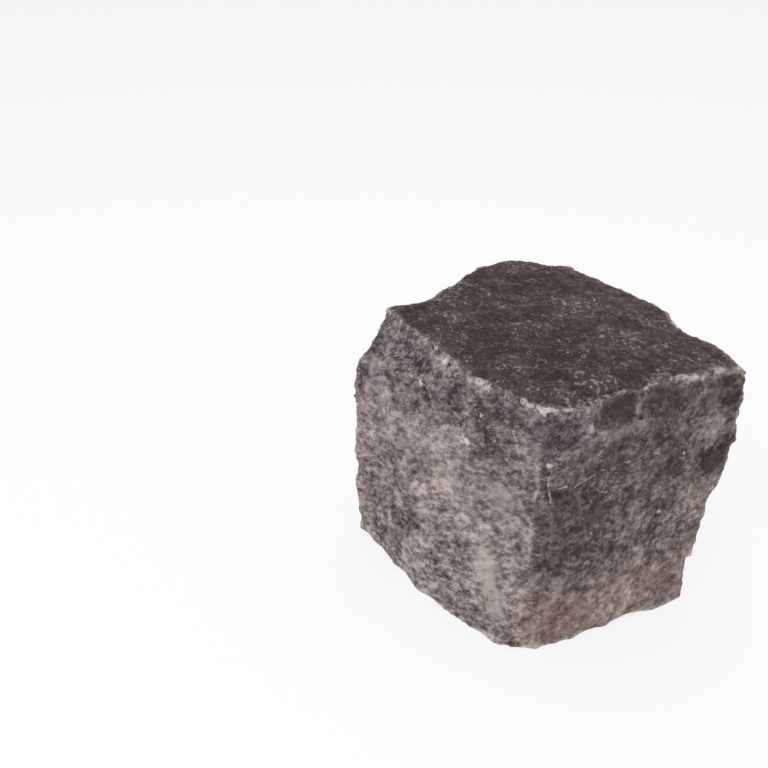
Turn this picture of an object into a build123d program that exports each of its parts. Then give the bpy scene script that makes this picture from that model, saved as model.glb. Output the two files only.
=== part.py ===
"""A hand-split basalt cobblestone, a rough cube for paving, of the 15/17 cm trade size.

One piece of stone. The bed, the flat face that it rests on, is at z = 0 with the origin on it.
The head, the face that is walked on, is level above it. The longer flanks run along Y, and the
left flank is on the -X side. All sizes are in millimetres and all angles in degrees.
"""

from build123d import *
import math
import os
import random

# The block as it was split, before its edges were dressed
HEIGHT = 160.0  # bed to head
BELLY_HEIGHT = 88.0  # where the flanks stand out furthest

# The block's upright edges, going round from the front one: (x, y) at the foot, belly and head
UPRIGHTS = {
    "front": ((-50, -73), (-43, -76), (-43, -81)),
    "nose": ((-40, -81), (-14, -85), (-22, -91)),
    "front_mid": ((22, -86), (32, -88), (26, -90)),
    "right": ((76, -87), (86, -93), (79, -94)),
    "shoulder": ((72, -62), (83, -64), (84.5, -68)),
    "right_bow": ((80, 5), (90, 0), (94, -8)),
    "back_right": ((70, 62), (80, 70), (84, 70)),
    "back": ((46, 84), (54, 92), (57, 96)),
    "back_left": ((28, 86), (34, 94), (36, 98)),
    "left_back": ((-30, 66), (-34, 70), (-24, 67)),
    "left": ((-72, 70), (-78, 68), (-74, 65)),
    "left_mid": ((-69, -8), (-71, 10), (-66, 20)),
    "crease": ((-54, -68), (-60, -41), (-58, -31)),
}
LEVELS = {"foot": 0.0, "belly": BELLY_HEIGHT, "head": HEIGHT}

# The long spall that took the head edge off the left flank: a hollow flute, whose axis runs this
# far out from the head corners at its two ends, and this far above them
SPALL_RADIUS = 68.0
SPALL_ENDS = {"left": (46.0, 20.0), "crease": (61.0, 29.0)}

# The flat scars that the right upright edge broke away in: the height of the ledge over each, how
# far in it starts, which way it faces, how far it leans back and how far down it reaches
LEDGES = {
    "upper": (HEIGHT - 49, 4.0, -48, 1, 30),
    "middle": (BELLY_HEIGHT + 7, 4.5, -42, -16, 29),
    "under_middle": (BELLY_HEIGHT - 16, 9.3, -42, -6, 60),
    "lower": (34.0, 12.0, -50, 4, 60),
}

# The dished scars of the heavier blows: the flank, named by the edge before it, the share along
# it, the height, how far up the blow faced, and the scar's radius and depth
BLOWS = {
    "front_first": ("nose", 0.4, HEIGHT - 10, 15, 32, 6),
    "front_second": ("front_mid", 0.1, HEIGHT - 10, 15, 46, 5),
    "front_third": ("front_mid", 0.68, HEIGHT - 6, 25, 30, 3),
    "front_face": ("nose", 0.2, BELLY_HEIGHT + 12, 0, 150, 4),
    "right_head": ("shoulder", 0.43, HEIGHT - 6, 20, 40, 5),
    "right_foot": ("shoulder", 0.7, 4.0, -30, 70, 7),
    "back_edge": ("back_right", 0.3, BELLY_HEIGHT - 22, -8, 60, 4),
    "back_foot": ("back_left", 0.48, 6.0, -25, 90, 8),
    "left_edge": ("left_back", 0.68, BELLY_HEIGHT - 28, 0, 60, 4),
    "rubbed_slope": ("crease", 0.3, BELLY_HEIGHT - 34, 14, 90, 3.5),
}

# The wide shallow hollows of the cleft flanks: the flank, the share along it and the height
HOLLOWS = [
    ("front_mid", 0.6, BELLY_HEIGHT - 34),
    ("shoulder", 0.5, BELLY_HEIGHT - 8),
    ("right_bow", 0.55, BELLY_HEIGHT - 32),
    ("back_left", 0.55, BELLY_HEIGHT - 16),
    ("left_back", 0.5, BELLY_HEIGHT + 24),
    ("left", 0.55, BELLY_HEIGHT - 32),
    ("left_mid", 0.4, BELLY_HEIGHT + 11),
]
HOLLOW_RADIUS = 190.0
HOLLOW_DEPTH = 2.5

# The smaller facets of the cleft flanks: how far apart, the shares that they lie at of the height
# of their row and of their own stretch of it, and their radius, depth and tilt
FACET_PITCH = 36.0
FACET_RISE = (0.25, 0.75)
FACET_PLACE = (0.2, 0.8)
FACET_RADIUS = (90.0, 150.0)
FACET_DEPTH = (0.7, 1.8)
FACET_TILT = 3.0

# The small chips along the edges: how far apart, the share that they lie at of their own stretch,
# their radius and depth, how far up those of the head edge face, and down those of the foot edge,
# and how much that and their bearing vary
CHIP_PITCH = 25.0
CHIP_PLACE = (0.3, 0.7)
CHIP_RADIUS = (18.0, 55.0)
CHIP_DEPTH = (0.8, 2.6)
CHIP_TILT = 38.0
CHIP_SWING = 20.0
# The upright edges that are chipped too, and the way that their chips face
CHIPPED_UPRIGHTS = {"front": -140, "back_right": 35, "back_left": 95, "left": 150}

# How far the slices that cut the facets and chips stand out of the stone
SLICE_STAND = 9.0


def corner(level, name):
    """Where an upright edge crosses a level."""
    x, y = UPRIGHTS[name][list(LEVELS).index(level)]
    return Vector(x, y, LEVELS[level])


def between(start, end, share):
    return start + (end - start) * share


def upright(name, height):
    """The point of an upright edge at a height."""
    low, high = ("foot", "belly") if height < BELLY_HEIGHT else ("belly", "head")
    start, end = corner(low, name), corner(high, name)
    return between(start, end, (height - start.Z) / (end.Z - start.Z))


def following(name):
    """The next upright edge going round."""
    names = list(UPRIGHTS)
    return names[(names.index(name) + 1) % len(names)]


def bearing(start, end):
    """The angle in plan, from +X towards +Y, that a flank between two points faces."""
    return math.degrees(math.atan2(start.X - end.X, end.Y - start.Y))


def unit(plan_angle, rise):
    """A direction from its angle in plan and its rise."""
    turn, up = math.radians(plan_angle), math.radians(rise)
    return Vector(math.cos(turn) * math.cos(up), math.sin(turn) * math.cos(up), math.sin(up))


def block():
    """The split block: straight cleft facets between its outlines at the three levels."""
    outlines = [Wire.make_polygon([corner(level, name) for name in UPRIGHTS]) for level in LEVELS]
    return Solid.make_loft(outlines, ruled=True)


def spall():
    """The rod that leaves the long spall where it is cut away. Its ends run past the stone."""
    (first, near), (last, far) = SPALL_ENDS.items()
    start, end = corner("head", first), corner("head", last)
    out = unit(bearing(start, end), 0)
    start += out * near[0] + Vector(0, 0, near[1])
    end += out * far[0] + Vector(0, 0, far[1])
    overrun = SPALL_RADIUS
    along = (end - start).normalized()
    rod = Plane(origin=start - along * overrun, z_dir=along)
    return Solid.make_cylinder(SPALL_RADIUS, (end - start).length + 2 * overrun, rod)


def ledge(height, inset, faces, lean, reach):
    """The box that leaves a flat scar under a ledge, where it is cut away from the right edge."""
    facing = unit(faces, lean)
    side = Vector(0, 0, 1).cross(facing).normalized()
    up = facing.cross(side)
    beside = reach + inset  # ample, each way
    origin = upright("right", height) - facing * inset - up * reach - side * beside
    return Solid.make_box(2 * beside, reach, beside, Plane(origin=origin, x_dir=side, z_dir=facing))


def scar(point, faces, tilt, radius, depth, stand):
    """The slice of a ball that leaves a dished scar, this deep at a point, where it is cut away.
    The slice is wide enough to stand this far out of the stone all round."""
    spread = math.degrees(math.acos(1 - (depth + stand) / radius))
    around = min(spread / math.cos(math.radians(tilt)), 180)
    centre = point + unit(faces, tilt) * (radius - depth)
    ball = Plane(origin=centre, x_dir=unit(faces + 180 - around, 0), z_dir=(0, 0, 1))
    lowest, highest = max(-tilt - spread, -90), min(-tilt + spread, 90)
    return Solid.make_sphere(radius, ball, lowest, highest, 2 * around)


def blow(name, share, height, tilt, radius, depth):
    """The ball that leaves a dished scar on a flank, where it is cut away."""
    start, end = upright(name, height), upright(following(name), height)
    return scar(between(start, end, share), bearing(start, end), tilt, radius, depth, radius)


def facets():
    """The slices that leave shallow facets all over the flanks, in rows."""
    chance = random.Random("facets")
    rows = round(HEIGHT / FACET_PITCH)
    cuts = []
    for name in UPRIGHTS:
        for row in range(rows):
            height = (row + chance.uniform(*FACET_RISE)) / rows * HEIGHT
            start, end = upright(name, height), upright(following(name), height)
            count = round((end - start).length / FACET_PITCH)
            for place in range(count):
                point = between(start, end, (place + chance.uniform(*FACET_PLACE)) / count)
                swing, lift = (chance.uniform(-FACET_TILT, FACET_TILT) for _ in range(2))
                faces = bearing(start, end) + swing
                radius, depth = chance.uniform(*FACET_RADIUS), chance.uniform(*FACET_DEPTH)
                cuts.append(scar(point, faces, lift, radius, depth, SLICE_STAND))
    return cuts


def chips(start, end, faces, tilt, seed):
    """The slices that leave small scars at random places along an edge."""
    chance = random.Random(seed)
    count = round((end - start).length / CHIP_PITCH)
    cuts = []
    for place in range(count):
        point = between(start, end, (place + chance.uniform(*CHIP_PLACE)) / count)
        radius, depth = chance.uniform(*CHIP_RADIUS), chance.uniform(*CHIP_DEPTH)
        swing, lift = (chance.uniform(-CHIP_SWING, CHIP_SWING) for _ in range(2))
        cuts.append(scar(point, faces + swing, tilt + lift, radius, depth, SLICE_STAND))
    return cuts


def chipping():
    """All the small scars, along the head and foot edges and the sharper upright edges."""
    cuts = []
    for level, tilt in (("head", CHIP_TILT), ("foot", -CHIP_TILT)):
        for name in UPRIGHTS:
            start, end = corner(level, name), corner(level, following(name))
            cuts += chips(start, end, bearing(start, end), tilt, f"{level} {name}")
    for name, faces in CHIPPED_UPRIGHTS.items():
        foot, belly, head = (corner(level, name) for level in LEVELS)
        cuts += chips(foot, belly, faces, 0, f"low {name}")
        cuts += chips(belly, head, faces, 0, f"high {name}")
    return cuts


def cobblestone():
    """The block with its scars, the heaviest cut first."""
    stone = block().cut(spall(), *(ledge(*sizes) for sizes in LEDGES.values()))
    stone = stone.cut(*(blow(*sizes) for sizes in BLOWS.values()))
    stone = stone.cut(*(blow(*place, 0, HOLLOW_RADIUS, HOLLOW_DEPTH) for place in HOLLOWS))
    return stone.cut(*facets()).cut(*chipping())


def export(shape, name):
    os.makedirs("parts", exist_ok=True)
    export_step(shape, f"parts/{name}.step")


if __name__ == "__main__":
    export(cobblestone(), "cobblestone")
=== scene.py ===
import math

import bpy
import numpy as np
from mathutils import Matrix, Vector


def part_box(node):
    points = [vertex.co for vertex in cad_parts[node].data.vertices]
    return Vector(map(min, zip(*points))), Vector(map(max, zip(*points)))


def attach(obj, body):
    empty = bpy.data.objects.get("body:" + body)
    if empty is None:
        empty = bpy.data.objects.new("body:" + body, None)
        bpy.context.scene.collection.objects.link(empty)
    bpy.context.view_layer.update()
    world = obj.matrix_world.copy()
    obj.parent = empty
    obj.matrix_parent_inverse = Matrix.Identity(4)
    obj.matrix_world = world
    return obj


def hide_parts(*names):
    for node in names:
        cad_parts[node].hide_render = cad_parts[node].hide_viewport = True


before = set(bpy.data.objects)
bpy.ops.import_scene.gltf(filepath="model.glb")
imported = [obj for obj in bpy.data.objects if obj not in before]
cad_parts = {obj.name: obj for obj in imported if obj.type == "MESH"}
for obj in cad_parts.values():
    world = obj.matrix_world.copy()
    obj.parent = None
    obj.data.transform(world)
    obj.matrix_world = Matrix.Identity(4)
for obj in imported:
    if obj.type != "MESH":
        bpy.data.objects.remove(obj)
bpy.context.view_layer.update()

# The cobblestone: one rough cube of basalt, split by hammer from a larger block and dressed at its
# edges. Its head is a smooth natural joint face, and its flanks are coarse cleft faces, bruised
# pale by the blows and by rubbing.
MM = 0.001  # a millimetre, in the frame's metres
bpy.ops.object.select_all(action="DESELECT")
stone = bpy.data.objects.new("split_stone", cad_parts["cobblestone"].data.copy())
bpy.context.scene.collection.objects.link(stone)
bpy.context.view_layer.objects.active = stone
stone.select_set(True)
bpy.ops.object.mode_set(mode="EDIT")
bpy.ops.mesh.select_all(action="SELECT")
bpy.ops.mesh.remove_doubles(threshold=0.02 * MM)
bpy.ops.mesh.customdata_custom_splitnormals_clear()
bpy.ops.object.mode_set(mode="OBJECT")

mesh_size = 1.32 * MM  # as fine as keeps the stone under 200,000 triangles
swell = 0.5 * MM  # how far the head may rise above the solid's
low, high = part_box("cobblestone")


def finish_with(piece, kind, **settings):
    """Adds a modifier to a piece and applies it."""
    modifier = piece.modifiers.new(kind.lower(), kind)
    for name, value in settings.items():
        setattr(modifier, name, value)
    bpy.ops.object.modifier_apply(modifier=modifier.name)


finish_with(stone, "REMESH", mode="VOXEL", voxel_size=mesh_size)
finish_with(stone, "SMOOTH", factor=0.5, iterations=3)


def points_of(piece):
    points = np.empty(len(piece.data.vertices) * 3)
    piece.data.vertices.foreach_get("co", points)
    return points.reshape(-1, 3)


def facing_of(piece):
    normals = np.empty(len(piece.data.vertices) * 3, np.float32)
    piece.data.vertex_normals.foreach_get("vector", normals)
    return normals.reshape(-1, 3).astype(float)


def proud(piece, rounds):
    """How far each point stands out from the surface round it, averaged over rounds of edges."""
    ends = np.empty(len(piece.data.edges) * 2, np.int32)
    piece.data.edges.foreach_get("vertices", ends)
    first, second = ends.reshape(-1, 2).T
    points = points_of(piece)
    smooth = points.copy()
    count = np.bincount(ends, minlength=len(points))[:, None]
    for _ in range(rounds):
        total = np.zeros_like(smooth)
        for axis in range(3):
            total[:, axis] = np.bincount(first, smooth[second, axis], len(points))
            total[:, axis] += np.bincount(second, smooth[first, axis], len(points))
        smooth = total / count
    return ((points - smooth) * facing_of(piece)).sum(1)


def weigh(piece, name, weights):
    """Stores a weight from 0 to 1 for each point as a vertex group, in twenty steps."""
    group = piece.vertex_groups.new(name=name)
    steps = 20
    nearest = np.round(np.clip(weights, 0, 1) * steps).astype(int)
    for step in range(1, steps + 1):
        group.add(np.nonzero(nearest == step)[0].tolist(), step / steps, "REPLACE")


def ramp(values, low, high):
    return np.clip((values - low) / (high - low), 0, 1)


points, facing = points_of(stone), facing_of(stone)
above_bed = ramp(points[:, 2], 0.3 * MM, 5 * MM)
weigh(stone, "flanks", above_bed * ramp(-facing[:, 2], -0.9, -0.45))
weigh(stone, "head", above_bed * ramp(facing[:, 2], 0.8, 0.95))
weigh(stone, "arrises", above_bed * ramp(proud(stone, 30), 0.25 * MM, 1.2 * MM))


def paint_by(piece, name, values):
    """Stores a number for each point, for the material to read."""
    layer = piece.data.attributes.new(name, "FLOAT", "POINT")
    layer.data.foreach_set("value", np.asarray(values, np.float32))


# The way that each face was left facing, and the arrises, before the fine relief
paint_by(stone, "south", -facing[:, 1])
paint_by(stone, "up", facing[:, 2])
paint_by(stone, "arris", ramp(proud(stone, 10), 0.25 * MM, 0.7 * MM))


def relief(name, kind, group, size, depth, **settings):
    """Raises and sinks a group of points by a texture, whose features are about that size."""
    texture = bpy.data.textures.new(name, kind)
    texture.noise_scale = size
    for setting, value in settings.items():
        setattr(texture, setting, value)
    finish_with(stone, "DISPLACE", texture=texture, texture_coords="LOCAL", vertex_group=group,
                strength=depth, mid_level=0.5)


relief("cleft swells", "CLOUDS", "flanks", 20 * MM, 1.2 * MM, noise_depth=1)
relief("cleft flakes", "VORONOI", "flanks", 12 * MM, 1.4 * MM, distance_metric="DISTANCE")
relief("cleft grain", "CLOUDS", "flanks", 4 * MM, 0.5 * MM, noise_depth=3, noise_type="HARD_NOISE")
relief("head swells", "CLOUDS", "head", 32 * MM, 1.2 * MM, noise_depth=1)
relief("head grain", "CLOUDS", "head", 7 * MM, 0.4 * MM, noise_depth=3)
relief("arris breaks", "CLOUDS", "arrises", 8 * MM, 2.0 * MM, noise_depth=2,
       noise_type="HARD_NOISE")

# The bed stays flat, and the head keeps to its height
points = points_of(stone)
points[:, 2] = np.clip(points[:, 2], low.z, high.z + swell)
stone.data.vertices.foreach_set("co", points.ravel())
stone.data.update()
stone.vertex_groups.clear()
bpy.ops.object.shade_smooth()

# What stands proud, for rubbed wear and a painted highlight on the ridges
paint_by(stone, "wear_and_ridge_highlight", ramp(proud(stone, 6), 0.05 * MM, 0.45 * MM))
# What is sunk, for painted shade in the pits
paint_by(stone, "painted_pit_shade", ramp(-proud(stone, 8), 0.03 * MM, 0.4 * MM))

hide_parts("cobblestone")
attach(stone, "root")

basalt = bpy.data.materials.new("basalt")
basalt.use_nodes = True
basalt.node_tree.nodes.clear()


class Shade:
    """A socket of a shader. Arithmetic on it adds Math nodes, and node() adds any other."""

    def __init__(self, tree, socket=None):
        self.tree = tree
        self.socket = socket

    def node(self, kind, settings=(), inputs=(), output=0):
        made = self.tree.nodes.new("ShaderNode" + kind)
        for name, value in dict(settings).items():
            setattr(made, name, value)
        for name, value in dict(inputs).items():
            if isinstance(value, Shade):
                self.tree.links.new(value.socket, made.inputs[name])
            else:
                made.inputs[name].default_value = value
        return Shade(self.tree, made.outputs[output] if made.outputs else None)

    def math(self, operation, left, right):
        return self.node("Math", {"operation": operation}, {0: left, 1: right})

    def __add__(self, other):
        return self.math("ADD", self, other)

    def __radd__(self, other):
        return self.math("ADD", other, self)

    def __sub__(self, other):
        return self.math("SUBTRACT", self, other)

    def __rsub__(self, other):
        return self.math("SUBTRACT", other, self)

    def __mul__(self, other):
        return self.math("MULTIPLY", self, other)

    def __rmul__(self, other):
        return self.math("MULTIPLY", other, self)

    def __neg__(self):
        return self * -1

    def __abs__(self):
        return self.math("ABSOLUTE", self, 0)

    def __or__(self, other):
        """Where either mask is."""
        return 1 - (1 - self) * (1 - other)

    def between(self, low, high):
        """0 where this is at low and 1 where it is at high, with a smooth step between."""
        inputs = {0: self, 1: low, 2: high}
        return self.node("MapRange", {"interpolation_type": "SMOOTHSTEP"}, inputs)


material = Shade(basalt.node_tree)


def srgb(red, green, blue):
    """A colour as the renderer takes it, from its 0 to 255 values."""
    return (*(((part / 255 + 0.055) / 1.055) ** 2.4 for part in (red, green, blue)), 1)


def blend(amount, under, over):
    """The colour over laid on the colour under, by that amount."""
    return material.node("Mix", {"data_type": "RGBA"}, {0: amount, 6: under, 7: over}, output=2)


def attribute(name):
    return material.node("Attribute", {"attribute_name": name}, output=2)


def vector(operation, left, right=(0, 0, 0), scale=1.0, output=0):
    inputs = {0: left, 1: right, 3: scale}
    return material.node("VectorMath", {"operation": operation}, inputs, output)


# The place of each point, in millimetres, as are all the places and sizes from here on
spot = vector("SCALE", material.node("TexCoord", output="Object"), scale=1 / MM)


def part_of(place, axis):
    return material.node("SeparateXYZ", inputs={0: place}, output="XYZ".index(axis))


def noise(size, detail=3.0, rough=0.6, at=spot, warp=0.0, output=0):
    """Cloudy values from 0 to 1, whose largest features are about that wide."""
    inputs = {"Vector": at, "Scale": 1 / size, "Detail": detail, "Roughness": rough,
              "Distortion": warp}
    return material.node("TexNoise", {"noise_dimensions": "3D"}, inputs, output)


def grained(turn, squeeze):
    """The place, turned in degrees and then squeezed along its new axes."""
    turned = material.node("Mapping", {"vector_type": "POINT"},
                           {0: spot, 2: tuple(map(math.radians, turn))})
    return vector("MULTIPLY", turned, squeeze)


def threads(size, width, at, warp):
    """1 along thin winding lines and 0 off them."""
    return 1 - abs(noise(size, 2.0, 0.5, at, warp) - 0.5).between(width * 0.3, width)


# The place again, but wandering, so that what is drawn by it has ragged edges
wander = vector("SUBTRACT", noise(7, 4.0, 0.65, output=1), (0.5, 0.5, 0.5))
ragged = vector("ADD", spot, vector("SCALE", wander, scale=14))
crisp = vector("ADD", spot, vector("SCALE", wander, scale=5))


def patch(at, radius, soft):
    """1 round a point, falling to 0 over a soft ragged edge."""
    away = vector("DISTANCE", ragged, at, output=1)
    return 1 - away.between(radius - soft, radius + soft)


def stroke(start, end, width, soft=0.6, drawn=crisp):
    """1 along a line between two points, falling to 0 over soft edges at its width."""
    length = math.dist(start, end)
    along = [(b - a) / length for a, b in zip(start, end)]
    passed = vector("DOT_PRODUCT", vector("SUBTRACT", drawn, start), along, output=1)
    kept = material.node("Clamp", inputs={0: passed, 1: 0.0, 2: length})
    nearest = vector("ADD", vector("SCALE", along, scale=kept), start)
    return 1 - vector("DISTANCE", drawn, nearest, output=1).between(width - soft, width)


# Which face each point is on. The blow at the head's front corner reaches round the arris, and
# elsewhere the front and the left flank meet along a wandering line.
east, north, height = (part_of(spot, axis) for axis in "XYZ")
up, south, wear_and_ridge_highlight, arris, painted_pit_shade = map(attribute, ("up", "south", "wear_and_ridge_highlight", "arris", "painted_pit_shade"))
on_head = up.between(0.7, 0.92)
off_head = 1 - on_head
corner_blow = off_head * patch((-31, -84, 146), 18, 3)
leftward = (noise(20, 2.0) - 0.5) * 30 - part_of(ragged, "X")
on_left = off_head * south.between(-0.8, -0.5) * leftward.between(41, 47) * (1 - corner_blow)
on_front = off_head * (1 - on_left) * (south.between(0.5, 0.75) | corner_blow)
unseen = off_head * (1 - on_left) * (1 - on_front)

# The scars: the long spall under the head's left arris, the band of blows next to the front
# corner, those right of it, the ledge lower down and the rubbed slope on the left flank
spall = (on_left * (height + north * 0.25 + noise(9) * 10).between(118, 146)
         * north.between(-48, -28))
band = on_left * height.between(138, 150) * (-north).between(40, 56)
blows = on_front * (patch((0, -85, 149), 11, 2.5) | patch((30, -88, 149), 12, 6)
                    | patch((52, -91, 148), 9, 5))
ledge_top = on_front * patch((62, -92, 128), 9, 4)
ledge_face = on_front * (patch((70, -91, 104), 9, 1.5) | patch((72, -93, 147), 9, 2))
slope = on_left * (stroke((-60, -43, 80), (-56, -54, 54), 4, 3, ragged)
                   | stroke((-56, -54, 54), (-52, -66, 22), 8, 5, ragged))
smooth = on_head | slope | blows * 0.8 | ledge_face

# The broad pale and dark parts of the flanks
# Paler towards the foot of the front and in a patch high on its right: partly pale pink dust,
# partly painted bounce light from the floor
foot_dust_and_bounce_light = on_front * ((-height).between(-60, -26)
                         | east.between(40, 74) * (-height).between(-116, -88) * 0.8)
# Painted shade on the facet beside the crease, high on the left flank
painted_crease_shade = on_left * (-part_of(ragged, "Y")).between(32, 42) * height.between(92, 116)
# Painted shade in the recess along the arris between the front and the left flank
painted_recess_shade = on_front * stroke((-35, -80, 116), (-36, -79, 62), 6, 3, ragged)
haze = (on_left * (patch((-69, 19, 108), 26, 16) | patch((-62, -22, 92), 12, 9))
        | on_front * patch((34, -87, 66), 28, 16))
gloom = on_left * (patch((-70, 22, 40), 22, 12) | patch((-62, -30, 36), 16, 8))

# How light the stone is on the whole, from 0 to 1. The left flank's lift and the front's and the
# head's darkening are partly the faces' own tone and partly painted light, as if lit from the left
level = 0.56 + on_left * 0.06 - on_front * 0.22 - on_head * (0.4 - east.between(0, 90) * 0.06)
level += unseen * (noise(60, 2.0) - 0.5) * 0.7
# Lighter by the foot partly by pale dust and partly by painted bounce light from the floor
level += haze * (0.06 + on_front * 0.04) + foot_dust_and_bounce_light * 0.28 + ledge_top * 0.28
# Painted shade beside the crease on the left flank and in the recess by the front arris
level -= gloom * 0.1 + painted_crease_shade * 0.16 + painted_recess_shade * 0.1
level -= spall * 0.26 + band * 0.18 + blows * 0.1 + ledge_face * 0.25

# The mottle of the stone, from its crystals to its clouds, drawn out along the cleft grain, and
# how strongly it shows
cleft = grained((26, 0, 0), (1, 0.5, 1))
mottle = (noise(1.5, 2.0, 0.5, cleft) * 0.1 + noise(3.2, 3.0, 0.6, cleft, 0.15) * 0.43
          + noise(8, 3.0, 0.6, cleft, 0.2) * 0.34 + noise(30) * 0.18)
mid_mottle = 0.525
gain = 3.3 - on_head * 1.8 - on_front * 0.5 + on_front * haze * 0.9
gain += on_left * (-height).between(-90, -40) * 0.9 - (blows | ledge_face) * 1.2
lightness = material.node("Clamp", inputs={0: (mottle - mid_mottle) * gain + level, 1: 0.0, 2: 1.0})

# Fresh scars are bluish, the dust by the foot is pink, and the head is the darkest, partly by its
# own tone and partly by painted shade
bluish = (corner_blow | band * 0.8 | spall * 0.7 | blows * 0.4) * 0.75
dark = blend(foot_dust_and_bounce_light, srgb(56, 44, 43), srgb(58, 45, 43))
dark = blend(bluish, dark, srgb(53, 45, 51))
dark = blend(on_head, dark, srgb(39, 30, 27))
pale = blend(foot_dust_and_bounce_light, srgb(191, 177, 173), srgb(195, 175, 168))
pale = blend(bluish, pale, srgb(186, 175, 182))
colour = blend(lightness * lightness, dark, pale)

# The flanks: grit, short pale strokes and threads where the cleft grain crumbled, in clumps on
# the front, and a few pale crystals
bruise = srgb(206, 196, 192)
strokes = blend(on_left, noise(2.3, at=grained((0, -14, 0), (0.4, 1, 1))),
                noise(2.6, at=grained((30, 0, 0), (1, 0.5, 0.6)))).between(0.57, 0.7)
squiggles = threads(4.5, 0.05, cleft, 1.3) * noise(6, 2.0).between(0.5, 0.62)
grit = noise(1.9, 2.0, 0.5, cleft).between(0.54, 0.7) * 0.24
crumbs = grit | strokes * noise(8).between(0.42, 0.6) * 0.3 | squiggles * 0.32
crumbled = 1 - on_front * (1 - noise(15, 3.0).between(0.42, 0.58)) * 0.75
colour = blend(crumbs * crumbled * off_head * (1 - smooth * 0.7), colour, bruise)
cells = material.node("TexVoronoi", {"feature": "F1"}, {"Vector": crisp, "Scale": 1 / 17})
crystals = (1 - cells.between(0.03, 0.09)) * noise(20, 1.0).between(0.45, 0.55)
colour = blend(crystals * off_head * 0.6, colour, srgb(216, 208, 204))

# The pale rubbed slope on the left flank and the patch by it, and the rust by the foot
rubbed = slope * (0.3 + noise(6, 4.0, 0.7).between(0.35, 0.55) * 0.4)
colour = blend(rubbed, colour, srgb(184, 172, 167))
colour = blend(on_left * patch((-51, -58, 97), 8, 3) * 0.55, colour, srgb(156, 144, 140))
colour = blend(patch((-20, -83, 18), 15, 6) * 0.3, colour, srgb(122, 88, 76))

# The pale lower edge of the corner's blow
blow_foot = (stroke((-37, -81, 127), (-17, -88, 136), 4.5, 3.5, ragged)
             | stroke((-17, -88, 136), (12, -90, 138), 5, 4, ragged))
colour = blend(blow_foot * noise(3).between(0.4, 0.6) * 0.5, colour, srgb(170, 157, 150))

# The lines that the hammer scored: their two ends
scored = 0
for start, end in [((-45, -72, 41), (-34, -78, 52)), ((-60, -33, 145), (-59, -34, 122)),
                   ((-60, -32, 134), (-59, -35, 112)), ((5, -85, 151), (-1, -87, 142)),
                   ((-34, -80, 108), (-14, -83, 112)), ((-21, -83, 108), (-2, -83, 114)),
                   ((-4, -84, 111), (16, -85, 116)), ((-36, -79, 117), (-32, -79, 100)),
                   ((-48, -62, 140), (-45, -70, 118))]:
    scored = stroke(start, end, 0.9) | scored
colour = blend(scored * noise(4).between(0.36, 0.52) * 0.55, colour, bruise)

# The spots that it crushed white: their place and radius
crushed = 0
for place, radius in [((-64, 3, 142), 2.2), ((-66, 12, 141), 1.6), ((-56, -9, 158), 2.4),
                      ((-58, -34, 139), 1.5), ((-59, -35, 123), 1.6), ((-72, 35, 109), 1.5),
                      ((-42, -81, 159), 3.8), ((-44, -70, 115), 1.6), ((-58, -36, 122), 1.4),
                      ((-58, -44, 90), 1.6), ((-36, -81, 126), 1.8), ((-64, 5, 141), 1.8)]:
    crushed = patch(place, radius, 1) | crushed
colour = blend(crushed * 0.8, colour, srgb(220, 212, 208))

# The head: fine flecks in clusters, with a haze under them, and thin veins drawn out one way
drawn = grained((0, 0, 28), (1, 0.62, 1))
clusters = noise(19, 4.0, 0.7).between(0.46, 0.62)
flecks = (noise(2.8, 3.0, 0.6, drawn).between(0.55, 0.68)
          | noise(1.6, 2.0, 0.5, drawn).between(0.57, 0.72) * 0.8)
colour = blend(on_head * clusters * 0.05, colour, srgb(168, 155, 151))
colour = blend(on_head * flecks * (0.12 + clusters * 0.62), colour, srgb(164, 150, 146))
veins = threads(8, 0.02, grained((0, 0, 34), (0.3, 1, 1)), 0.5) * noise(9, 2.0).between(0.5, 0.62)
colour = blend(on_head * veins * 0.3, colour, srgb(158, 146, 142))

# The arrises and what lies beside them are broken pale, what stands proud is paler, partly rubbed
# and partly painted highlight, and the pits are dark with painted shade
clumps = noise(10, 2.0).between(0.47, 0.56) * noise(2.6).between(0.38, 0.58)
beside = off_head * (1 - smooth) * height.between(150, 158) * 0.55
colour = blend((arris | beside) * clumps * 0.85, colour, bruise)
colour = blend(wear_and_ridge_highlight * 0.25, colour, srgb(176, 165, 161))
# Painted shade in the pits
colour = blend(painted_pit_shade * (1 - on_head * 0.6) * 0.4, colour, srgb(62, 53, 53))

bump = material.node("Bump", inputs={"Strength": 1.0, "Distance": 0.7 * MM,
                                     "Height": mottle * 3 * (1 - smooth * 0.65)})
surface = material.node("BsdfPrincipled", inputs={
    "Base Color": colour, "Roughness": 0.88 - on_head * 0.12, "Normal": bump,
    "Specular IOR Level": 0.13})
material.node("OutputMaterial", inputs={"Surface": surface})
stone.data.materials.clear()
stone.data.materials.append(basalt)

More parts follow.
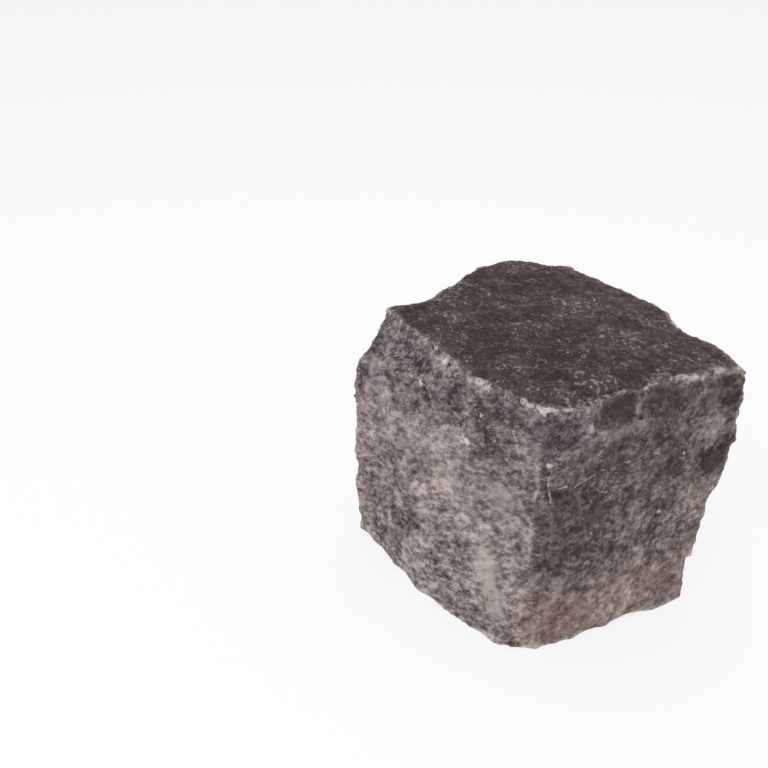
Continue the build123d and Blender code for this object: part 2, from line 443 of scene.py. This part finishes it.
# The studio: a plain pale floor of white paper and soft light from the left and above, with white
# all round. The camera sees the floor whitened, and the stone's shadow on it stays.
bpy.ops.mesh.primitive_plane_add(size=8)
floor = bpy.context.object
floor.name = "floor"
paper = bpy.data.materials.new("white_paper")
paper.use_nodes = True
paper.node_tree.nodes.clear()
sheet = Shade(paper.node_tree)
white = (1, 1, 1, 1)
matt = sheet.node("BsdfDiffuse", inputs={"Color": (0.85, 0.85, 0.85, 1)})
glow = sheet.node("Emission", inputs={"Color": white, "Strength": 1.0})
whitened = sheet.node("LightPath", output="Is Camera Ray") * 0.8
surface = sheet.node("MixShader", inputs={0: whitened, 1: matt, 2: glow})
sheet.node("OutputMaterial", inputs={"Surface": surface})
floor.data.materials.append(paper)

world = bpy.data.worlds.new("studio")
bpy.context.scene.world = world
world.use_nodes = True
world.node_tree.nodes.clear()
sky = Shade(world.node_tree)
soft_light = sky.node("Background", inputs={"Color": white, "Strength": 0.62})
backdrop = sky.node("Background", inputs={"Color": white, "Strength": 1.0})
straight, mirrored = (sky.node("LightPath", output=ray) for ray in (
    "Is Camera Ray", "Is Glossy Ray"))
surface = sky.node("MixShader", inputs={0: straight | mirrored, 1: soft_light, 2: backdrop})
sky.node("OutputWorld", inputs={"Surface": surface})


def soft_box(name, at, size, power):
    """A square lamp that faces the stone."""
    lamp = bpy.data.lights.new(name, "AREA")
    lamp.size = size
    lamp.energy = power
    holder = bpy.data.objects.new(name, lamp)
    bpy.context.scene.collection.objects.link(holder)
    holder.location = at
    holder.rotation_euler = (-holder.location).to_track_quat("-Z", "Y").to_euler()


soft_box("key", (-1.1, -0.9, 1.3), 1.1, 14)
soft_box("top", (0.1, 0.3, 1.8), 1.5, 8)

# The camera stands where the photo was taken from, a little over half a metre off, and looks down
# on the stone's front left corner
photo_width, focal_length = 768, 1000  # in pixels of the photo
looks_down, turned_right = 28.5, 27.8  # in degrees
camera = bpy.data.objects.new("camera", bpy.data.cameras.new("camera"))
bpy.context.scene.collection.objects.link(camera)
camera.data.sensor_width = 36
camera.data.lens = camera.data.sensor_width * focal_length / photo_width
camera.location = (-0.3111, -0.4199, 0.40535)
camera.rotation_euler = (math.radians(90 - looks_down), 0, math.radians(-turned_right))
bpy.context.scene.camera = camera

bpy.context.scene.view_settings.view_transform = "Standard"
